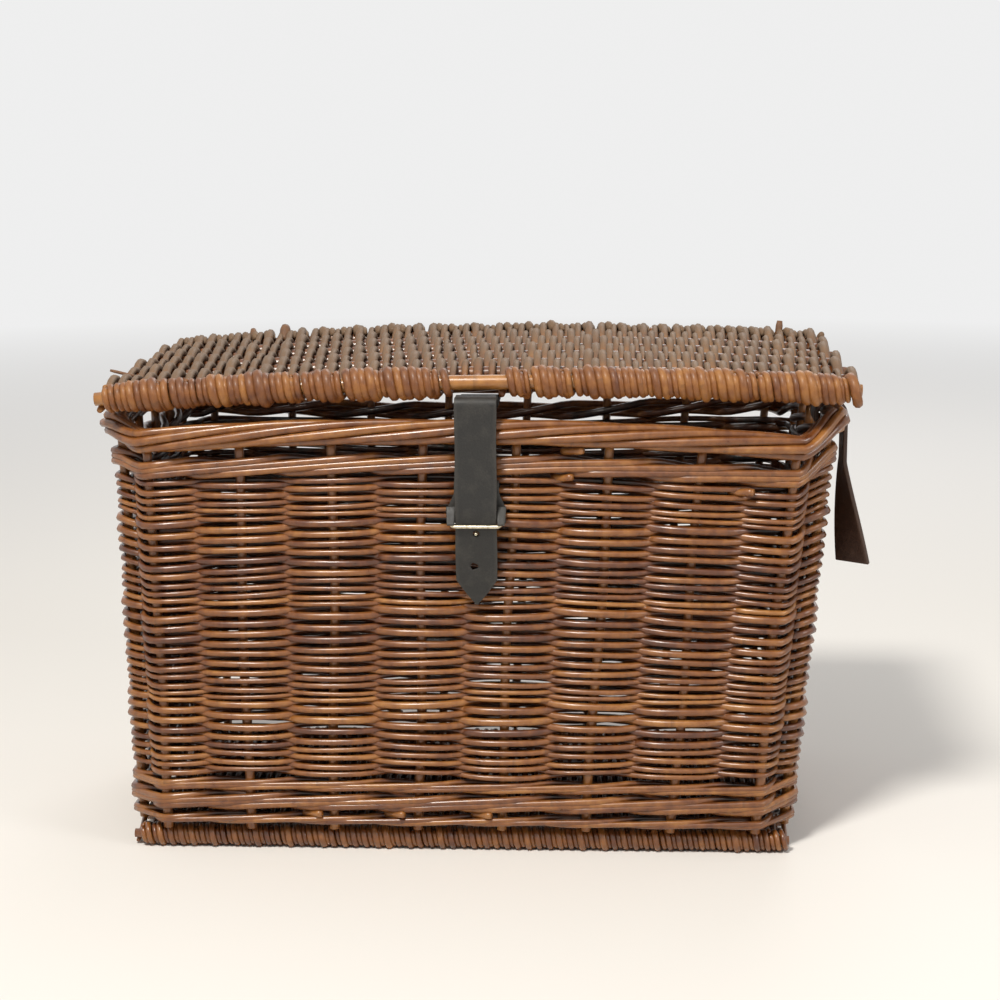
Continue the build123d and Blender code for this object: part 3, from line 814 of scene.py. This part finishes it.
blackLeather = leatherFinish("wornBlackLeather", (0.013, 0.012, 0.0105), (0.052, 0.047, 0.040), 0.48)
brownLeather = leatherFinish("oldBrownLeather", (0.032, 0.013, 0.007), (0.075, 0.036, 0.020), 0.48)
paleBrass = metalFinish("paleBrass", (0.72, 0.66, 0.50), (0.30, 0.25, 0.17))


def smoothRoute(corners, radius, step=0.0008):
    # straight runs with an arc at each corner
    corners = [np.array(corner, float) for corner in corners]
    made = [corners[0]]
    for before, here, after in zip(corners, corners[1:], corners[2:]):
        first = (before - here) / np.linalg.norm(before - here)
        second = (after - here) / np.linalg.norm(after - here)
        opening = np.arccos(np.clip(first @ second, -1, 1))
        shorter = min(np.linalg.norm(before - here), np.linalg.norm(after - here))
        reach = min(radius / np.tan(opening / 2), 0.45 * shorter)
        for share in np.linspace(0, 1, 9):
            made.append(here + reach * (first * (1 - share) ** 2 + second * share ** 2))
    made.append(corners[-1])
    made = np.array(made)
    length = np.concatenate([[0], np.cumsum(np.linalg.norm(np.diff(made, axis=0), axis=1))])
    places = np.linspace(0, length[-1], max(4, int(length[-1] / step)))
    return np.column_stack([np.interp(places, length, made[:, axis]) for axis in range(3)]), places


def ribbon(name, centre, across, widths, thickness, columns=8):
    # a flat strap: a grid laid along its middle line, then given its thickness and softened edges
    work = bmesh.new()
    rows = len(centre) - 1
    bmesh.ops.create_grid(work, x_segments=columns, y_segments=rows, size=0.5)
    edge = work.verts.layers.float.new("edge")
    for vert in work.verts:
        row = int(round((vert.co.y + 0.5) * rows))
        side = 2 * vert.co.x
        vert[edge] = 1.0 if abs(side) > 0.98 or row == rows else 0.0
        vert.co = Vector(centre[row]) + Vector(across[row]) * (side * widths[row] / 2)
    mesh = bpy.data.meshes.new(name)
    work.to_mesh(mesh)
    work.free()
    piece = bpy.data.objects.new(name, mesh)
    scene.collection.objects.link(piece)
    solid = piece.modifiers.new("thickness", "SOLIDIFY")
    solid.thickness = thickness
    solid.offset = 0
    soft = piece.modifiers.new("edges", "BEVEL")
    soft.width = thickness * 0.22
    soft.segments = 2
    soft.limit_method = "ANGLE"
    soft.angle_limit = radians(50)
    return applied(piece)


def applied(piece):
    # put the modifiers into the mesh
    finished = bpy.data.meshes.new_from_object(piece.evaluated_get(bpy.context.evaluated_depsgraph_get()))
    piece.modifiers.clear()
    piece.data = finished
    for face in finished.polygons:
        face.use_smooth = True
    return piece


def punch(piece, x, z, radius, points, roughness):
    # a hole through the strap from front to back, a little torn
    work = bmesh.new()
    bmesh.ops.create_cone(work, cap_ends=True, segments=points, radius1=radius, radius2=radius, depth=0.03)
    for vert in work.verts:
        corner = int(round(np.degrees(np.arctan2(vert.co.y, vert.co.x)) / (360 / points)))
        vert.co.xy *= 1 + roughness if corner % 2 else 1 - roughness
    bmesh.ops.rotate(work, verts=work.verts, matrix=Matrix.Rotation(pi / 2, 3, "X"))
    bmesh.ops.translate(work, verts=work.verts, vec=(x, -strapSet["out"], z))
    mesh = bpy.data.meshes.new("punch")
    work.to_mesh(mesh)
    work.free()
    tool = bpy.data.objects.new("punch", mesh)
    scene.collection.objects.link(tool)
    cut = piece.modifiers.new("hole", "BOOLEAN")
    cut.object = tool
    cut.operation = "DIFFERENCE"
    cut.solver = "EXACT"
    applied(piece)
    bpy.data.objects.remove(tool)


# the closing strap: along each side view, places are (outwards, up)
strapSet = {
    "x": 0.0035,
    "width": 0.022,
    "thickness": 0.0025,
    "out": 0.11465,
    "top": 0.25500,
    "bend": 0.0034,
    "bar": (0.1136, 0.1878),
    "tip": (0.1070, 0.1440),
    "pointLength": 0.014,
    "lidEnd": 0.1091,         # where the length under the lid goes over into the hanging length
    "tornHole": 0.1655,
    "prongHole": 0.1838,
    "pivot": (0.110053, 0.1965),
}


def outAndUp(points, x):
    return [(x, -out, z) for out, z in points]


def levelRibbon(name, points, x, width, thickness, radius, columns=8, shape=None):
    centre, places = smoothRoute(outAndUp(points, x), radius)
    widths = np.full(len(centre), width) if shape is None else shape(places, centre)
    across = np.tile([1.0, 0.0, 0.0], (len(centre), 1))
    return ribbon(name, centre, across, widths, thickness, columns)


def tailShape(places, centre):
    left = places[-1] - places
    width = strapSet["width"] * np.clip(left / strapSet["pointLength"], 0.05, 1) ** 0.85
    return width * (1 + 0.012 * np.sin(places * 160))


closingLine = [
    (strapSet["lidEnd"], strapSet["top"]),
    (strapSet["out"] + 0.0002, strapSet["top"]),
    (strapSet["out"], strapSet["pivot"][1]),
    strapSet["bar"],
    strapSet["tip"],
]
closing = levelRibbon("closingStrap", closingLine, strapSet["x"], strapSet["width"], strapSet["thickness"],
                      strapSet["bend"], 10, tailShape)
punch(closing, strapSet["x"] - 0.0005, strapSet["tornHole"], 0.0021, 10, 0.28)
punch(closing, strapSet["x"], strapSet["prongHole"], 0.0017, 12, 0.04)
closing.data.materials.append(blackLeather)
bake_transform(closing)
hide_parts("closure_strap")

underLine = [(0.0587, 0.2493), (0.0926, 0.2493), (0.1006, strapSet["top"]), (0.1090, strapSet["top"])]
under = levelRibbon("strapUnderLid", underLine, strapSet["x"], strapSet["width"], strapSet["thickness"],
                    0.003)
settle(under, "lid", ["strap_anchor"], blackLeather)


def tackHeads():
    low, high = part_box("anchor_tacks")
    work = bmesh.new()
    for side in (-1, 1):
        place = Matrix.Translation((strapSet["x"] + side * 0.0055, (low.y + high.y) / 2, high.z - 0.0003))
        made = bmesh.ops.create_uvsphere(work, u_segments=16, v_segments=8, radius=0.003, matrix=place)
        bmesh.ops.scale(work, verts=made["verts"], vec=(1, 1, 0.4), space=place.inverted())
    mesh = bpy.data.meshes.new("tackHeads")
    work.to_mesh(mesh)
    work.free()
    piece = bpy.data.objects.new("tackHeads", mesh)
    scene.collection.objects.link(piece)
    for face in mesh.polygons:
        face.use_smooth = True
    return settle(piece, "lid", ["anchor_tacks"], paleBrass)


tackHeads()

buckle = {
    "innerWidth": 0.0248,
    "wire": 0.0010,
    "corner": 0.0026,
    "tilt": 35.9,
    "reach": 0.0105,
    "tabWidth": 0.031,        # at the buckle; it narrows upwards
    "tabNarrower": 0.007,
    "tabTaper": 0.0078,
    "tabThickness": 0.0018,
    "wrapShift": 0.0063,
    "wrapWidth": 0.0088,
    "wrapRadius": 0.0020,
    "wrapThickness": 0.0014,
    "sleeve": (0.0052, 0.0038),
    "sleeveOut": 0.0016,
    "prong": 0.0009,
    "eye": 0.0021,
}
pivotOut, pivotUp = strapSet["pivot"]
frameHalf = buckle["innerWidth"] / 2 + buckle["wire"]
tilt = radians(buckle["tilt"])


def tabShape(places, centre):
    share = np.clip((centre[:, 2] - pivotUp) / buckle["tabTaper"], 0, 1)
    return buckle["tabWidth"] - buckle["tabNarrower"] * share


tabLine = [(0.0930, 0.1945), (0.0930, 0.2103), (0.1072, 0.2103), (0.1072, 0.1883)]
tab = levelRibbon("buckleLeather", tabLine, strapSet["x"], buckle["tabWidth"], buckle["tabThickness"],
                  0.002, 10, tabShape)
settle(tab, "basket", ["buckle_tab"], blackLeather)
for name, side in (("buckleWrapLeft", -1), ("buckleWrapRight", 1)):
    turn = np.linspace(radians(200), radians(-140), 26)
    radius = buckle["wrapRadius"]
    ring = [(pivotOut + radius * cos(a), pivotUp + radius * sin(a)) for a in turn]
    centre = np.array(outAndUp(ring, strapSet["x"] + side * buckle["wrapShift"]))
    widths = np.full(26, buckle["wrapWidth"])
    wrap = ribbon(name, centre, np.tile([1.0, 0, 0], (26, 1)), widths, buckle["wrapThickness"], 4)
    settle(wrap, "basket", ["buckle_tab"], blackLeather)


def frameRod():
    down = -buckle["reach"]
    corners = [(0, 0), (-frameHalf, 0), (-frameHalf, down), (frameHalf, down), (frameHalf, 0), (0, 0)]
    level, places = smoothRoute([(a, 0, b) for a, b in corners], buckle["corner"], 0.0009)
    along, up = level[:, 0], level[:, 2]
    shape = np.column_stack([strapSet["x"] + along, -pivotOut + up * sin(tilt), pivotUp + up * cos(tilt)])
    return rod(shape[:-1], buckle["wire"], 0.5, closed=True)


def prongRod():
    x = strapSet["x"]
    eye = buckle["eye"]
    turn = np.linspace(radians(-250), radians(0), 16)
    loop = [(x, -pivotOut - eye * sin(a + pi), pivotUp - eye * cos(a)) for a in turn]
    hole = strapSet["prongHole"]
    line = [(x, -pivotOut, pivotUp - eye), (x, -pivotOut, hole), (x, -strapSet["out"] - 0.0006, hole)]
    tail, places = smoothRoute(line, 0.0016, 0.0008)
    return rod(np.vstack([np.array(loop[:-1]), tail]), buckle["prong"], 0.5)


settle(layRods("buckleWire", [frameRod()], 3), "frame", ["buckle_frame"], paleBrass)
# leather sleeves hide the wire's two arms
for name, side in (("buckleSleeveLeft", -1), ("buckleSleeveRight", 1)):
    down = np.linspace(-0.0015, buckle["reach"] - 0.0012, 16)
    out = pivotOut + down * sin(tilt) + buckle["sleeveOut"]
    armX = np.full(16, strapSet["x"] + side * frameHalf)
    centre = np.column_stack([armX, -out, pivotUp - down * cos(tilt)])
    widths = np.linspace(*buckle["sleeve"], 16)
    sleeve = ribbon(name, centre, np.tile([1.0, 0, 0], (16, 1)), widths, buckle["wrapThickness"], 4)
    settle(sleeve, "frame", [], blackLeather)
settle(layRods("buckleProng", [prongRod()], 3), "prong", ["buckle_prong"], paleBrass)
print("strap and buckle made")

carry = {
    "y": -0.0596,
    "axisX": 0.19375,
    "axisZ": 0.24076,
    "ring": 0.0080,
    "width": 0.020,
    "thickness": 0.0024,
    "twistFrom": 0.215,
    "end": 0.1575,
    "drift": 0.007,
    "twist": 57,
}


def carryStrap():
    # a ring over the border, and a tail that twists as it hangs
    x = carry["axisX"] + carry["ring"]
    ring = []
    for a in np.linspace(radians(-60), radians(-360), 30):
        out, up = carry["ring"] * cos(a), carry["ring"] * sin(a)
        ring.append((carry["axisX"] + out, carry["y"], carry["axisZ"] + up))
    z = np.linspace(carry["axisZ"], carry["end"], 70)[1:]
    share = np.clip((carry["twistFrom"] - z) / (carry["twistFrom"] - carry["end"]), 0, 1)
    tail = np.column_stack([x + carry["drift"] * share ** 1.3, np.full(len(z), carry["y"]), z])
    angle = radians(carry["twist"]) * share
    twisted = np.column_stack([-np.sin(angle), np.cos(angle), 0 * angle])
    across = np.vstack([np.tile([0, 1.0, 0], (30, 1)), twisted])
    centre = np.vstack([np.array(ring), tail])
    widths = np.full(len(centre), carry["width"])
    piece = ribbon("carryStrapEnd", centre, across, widths, carry["thickness"], 8)
    return settle(piece, "carry_strap", ["carry_tab"], brownLeather)


carryStrap()

loops = {
    "x": 0.0994,
    "turns": 4,
    "pitch": 0.0024,
    "slant": 0.0006,
    "rod": 0.0012,
    "tone": 0.6,
    "upper": 0.0053,
    "lower": 0.0083,
    "lowerCentre": (0.1056, 0.2395),
}


def hingeLoop(name, node, middle):
    # cane wound round the lid's back stick above and the border below
    rods = []
    for number in range(loops["turns"]):
        spot = middle + (number - (loops["turns"] - 1) / 2) * loops["pitch"]
        corners = []
        for a in np.linspace(0, 2 * pi, 40, endpoint=False):
            top = sin(a) > 0
            centre = (lidPlaces[-1], lidZ + lidLift(spot)) if top else loops["lowerCentre"]
            radius = loops["upper"] if top else loops["lower"]
            x = spot + loops["slant"] * sin(a)
            corners.append((x, centre[0] + radius * cos(a), centre[1] + radius * sin(a)))
        rods.append(rod(np.array(corners), loops["rod"], loops["tone"], closed=True))
    return settle(layRods(name, rods), "basket", [node], wallFinish)


hingeLoop("caneLoopLeft", "hinge_loop_left", -loops["x"])
hingeLoop("caneLoopRight", "hinge_loop_right", loops["x"])
print("leather, buckle and loops made")

stageSet = {
    "size": 6.0,
    "floor": (0.82, 0.80, 0.77),
    "back": 0.86,
    "sky": 0.36,
    "fade": (0.10, 0.45),     # shares of the size between which the floor fades into the back
}


def makeStage():
    work = bmesh.new()
    bmesh.ops.create_grid(work, x_segments=1, y_segments=1, size=stageSet["size"])
    mesh = bpy.data.meshes.new("floor")
    work.to_mesh(mesh)
    work.free()
    floor = bpy.data.objects.new("floor", mesh)
    scene.collection.objects.link(floor)
    finish, tree, shader = newFinish("paleFloor")
    shader.inputs["Base Color"].default_value = (*stageSet["floor"], 1)
    shader.inputs["Roughness"].default_value = 0.9
    place = addNode(tree, "ShaderNodeTexCoord").outputs["Object"]
    far = addNode(tree, "ShaderNodeVectorMath", operation="LENGTH")
    tree.links.new(place, far.inputs[0])
    distance = maths(tree, "DIVIDE", far.outputs["Value"], stageSet["size"])
    fade = ramp(tree, distance, [(stageSet["fade"][0], (0,)), (stageSet["fade"][1], (1,))])
    glow = addNode(tree, "ShaderNodeEmission", Color=(1, 1, 1, 1), Strength=stageSet["back"])
    blend = addNode(tree, "ShaderNodeMixShader")
    tree.links.new(fade, blend.inputs["Fac"])
    tree.links.new(shader.outputs[0], blend.inputs[1])
    tree.links.new(glow.outputs[0], blend.inputs[2])
    tree.links.new(blend.outputs[0], tree.nodes["Material Output"].inputs["Surface"])
    mesh.materials.append(finish)
    world = bpy.data.worlds.new("paleRoom")
    world.use_nodes = True
    scene.world = world
    tree = world.node_tree
    back = tree.nodes["Background"]
    back.inputs["Color"].default_value = (1, 0.98, 0.95, 1)
    back.inputs["Strength"].default_value = stageSet["sky"]
    plain = addNode(tree, "ShaderNodeBackground", Color=(1, 1, 1, 1), Strength=stageSet["back"])
    rays = addNode(tree, "ShaderNodeLightPath")
    seen = maths(tree, "MAXIMUM", rays.outputs["Is Camera Ray"], rays.outputs["Is Transmission Ray"])
    seen = maths(tree, "MAXIMUM", seen, rays.outputs["Is Glossy Ray"])
    mix = addNode(tree, "ShaderNodeMixShader")
    tree.links.new(seen, mix.inputs["Fac"])
    tree.links.new(back.outputs[0], mix.inputs[1])
    tree.links.new(plain.outputs[0], mix.inputs[2])
    tree.links.new(mix.outputs[0], tree.nodes["World Output"].inputs["Surface"])


def addLamp(name, place, target, size, power, colour):
    lamp = bpy.data.lights.new(name, "AREA")
    lamp.shape = "DISK"
    lamp.size = size
    lamp.energy = power
    lamp.color = colour
    holder = bpy.data.objects.new(name, lamp)
    holder.location = place
    holder.rotation_euler = (Vector(target) - Vector(place)).to_track_quat("-Z", "Y").to_euler()
    scene.collection.objects.link(holder)


makeStage()
addLamp("keyLamp", (-0.35, -0.95, 1.55), (0, 0, 0.12), 0.34, 27, (1, 0.96, 0.89))
addLamp("sideLamp", (1.3, -0.8, 0.9), (0, 0, 0.12), 0.5, 5.5, (1, 0.98, 0.95))
addLamp("backLamp", (0.3, 1.4, 1.2), (0, 0, 0.15), 1.0, 8, (1, 1, 1))

view = {
    "place": (0.0655, -1.1998, 0.4150),
    "turn": 2.596,
    "down": 11.08,
    "roll": -0.25,
    "focal": 2100.0,
}
lens = bpy.data.cameras.new("photoLens")
lens.sensor_width = 36.0
lens.lens = 36.0 * view["focal"] / 1000.0
camera = bpy.data.objects.new("photoView", lens)
camera.location = view["place"]
turned = Matrix.Rotation(radians(view["turn"]), 4, "Z")
turned = turned @ Matrix.Rotation(radians(90 - view["down"]), 4, "X")
turned = turned @ Matrix.Rotation(radians(view["roll"]), 4, "Z")
camera.rotation_euler = turned.to_euler()
scene.collection.objects.link(camera)
scene.camera = camera
scene.view_settings.view_transform = "Standard"
